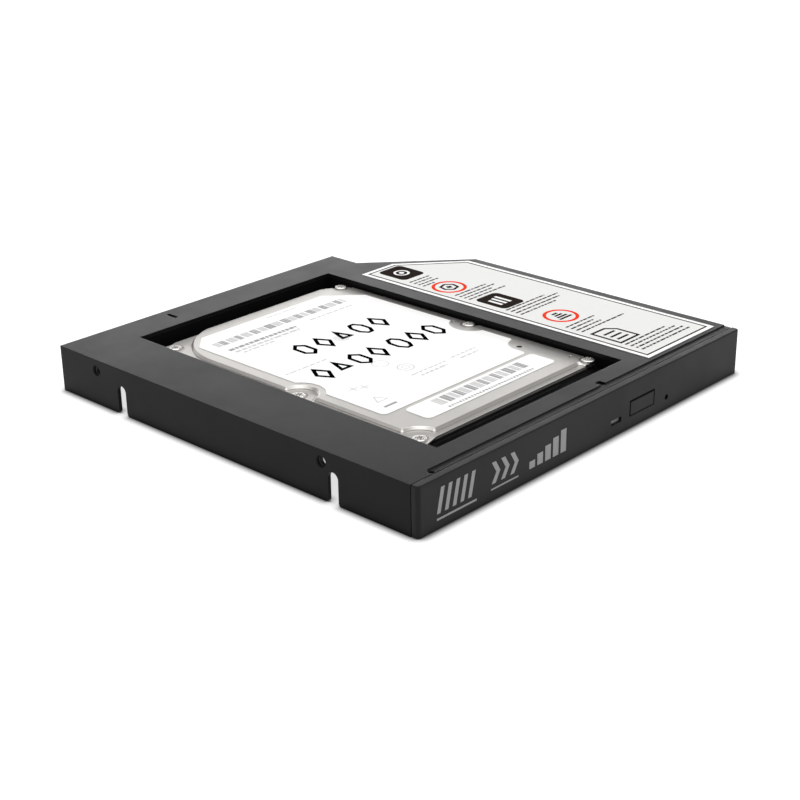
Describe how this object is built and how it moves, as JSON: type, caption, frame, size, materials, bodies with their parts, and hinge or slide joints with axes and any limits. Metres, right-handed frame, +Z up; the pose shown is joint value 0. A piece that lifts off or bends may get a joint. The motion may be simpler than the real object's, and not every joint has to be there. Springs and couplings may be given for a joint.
{
  "type": "laptop drive caddy",
  "caption": "Slim caddy that holds a 2.5 inch drive in a laptop's optical drive bay, with a folded cover, a moulded frame, a front bezel and a push button.",
  "frame": {"origin": "bottom centre of the caddy's bounding box", "axes": "+X to the right along the bezel, +Y from the bezel to the rear, +Z up through the top plate"},
  "size_m": [0.128, 0.128, 0.0128],
  "materials": {
    "cover_paint": "satin black paint on folded sheet",
    "frame_plastic": "matt black moulding",
    "bezel_plastic": "fine grained black moulding",
    "clear_plastic": "clear light pipe",
    "board_green": "green solder mask",
    "screw_steel": "bright plated steel",
    "screw_black": "blackened steel",
    "ceramic": "ceramic body",
    "chip_black": "moulded chip body",
    "connector_black": "black connector moulding",
    "contact_gold": "gold plated contacts",
    "label_paper": "white label with grey and dark print",
    "drive_casting": "matt cast aluminium",
    "drive_lid": "pressed lid, fine satin",
    "filter_felt": "dark filter felt"
  },
  "bodies": {
    "caddy": {"top_cover": "cover_paint", "inner_frame": "frame_plastic", "front_bezel": "bezel_plastic", "light_pipe": "clear_plastic", "status_led": "clear_plastic", "circuit_board": "board_green", "board_screws": "screw_steel", "board_capacitors": "ceramic", "board_resistors": "chip_black", "drive_socket": "connector_black", "drive_socket_contacts": "contact_gold", "rear_plug": "connector_black", "rear_plug_contacts": "contact_gold", "cover_screws": "screw_black", "drive_fixing_screws": "screw_steel", "top_label": "label_paper", "drive_base": "drive_casting", "spindle_motor": "screw_steel", "drive_cover": "drive_lid", "drive_cover_screws": "screw_steel", "breather_filter": "filter_felt", "drive_label": "label_paper", "drive_barcode_label": "label_paper", "drive_board": "board_green", "drive_board_screws": "screw_steel", "drive_board_chips": "chip_black", "drive_plug": "connector_black", "drive_plug_contacts": "contact_gold"},
    "button": {"eject_button": "bezel_plastic"}
  },
  "joints": [
    {"name": "button_press", "type": "slide", "parent": "caddy", "child": "button", "axis": [0, 1, 0], "range_m": [0, 0.0008], "stiffness_N_per_m": 400, "springref_m": -0.0004}
  ]
}
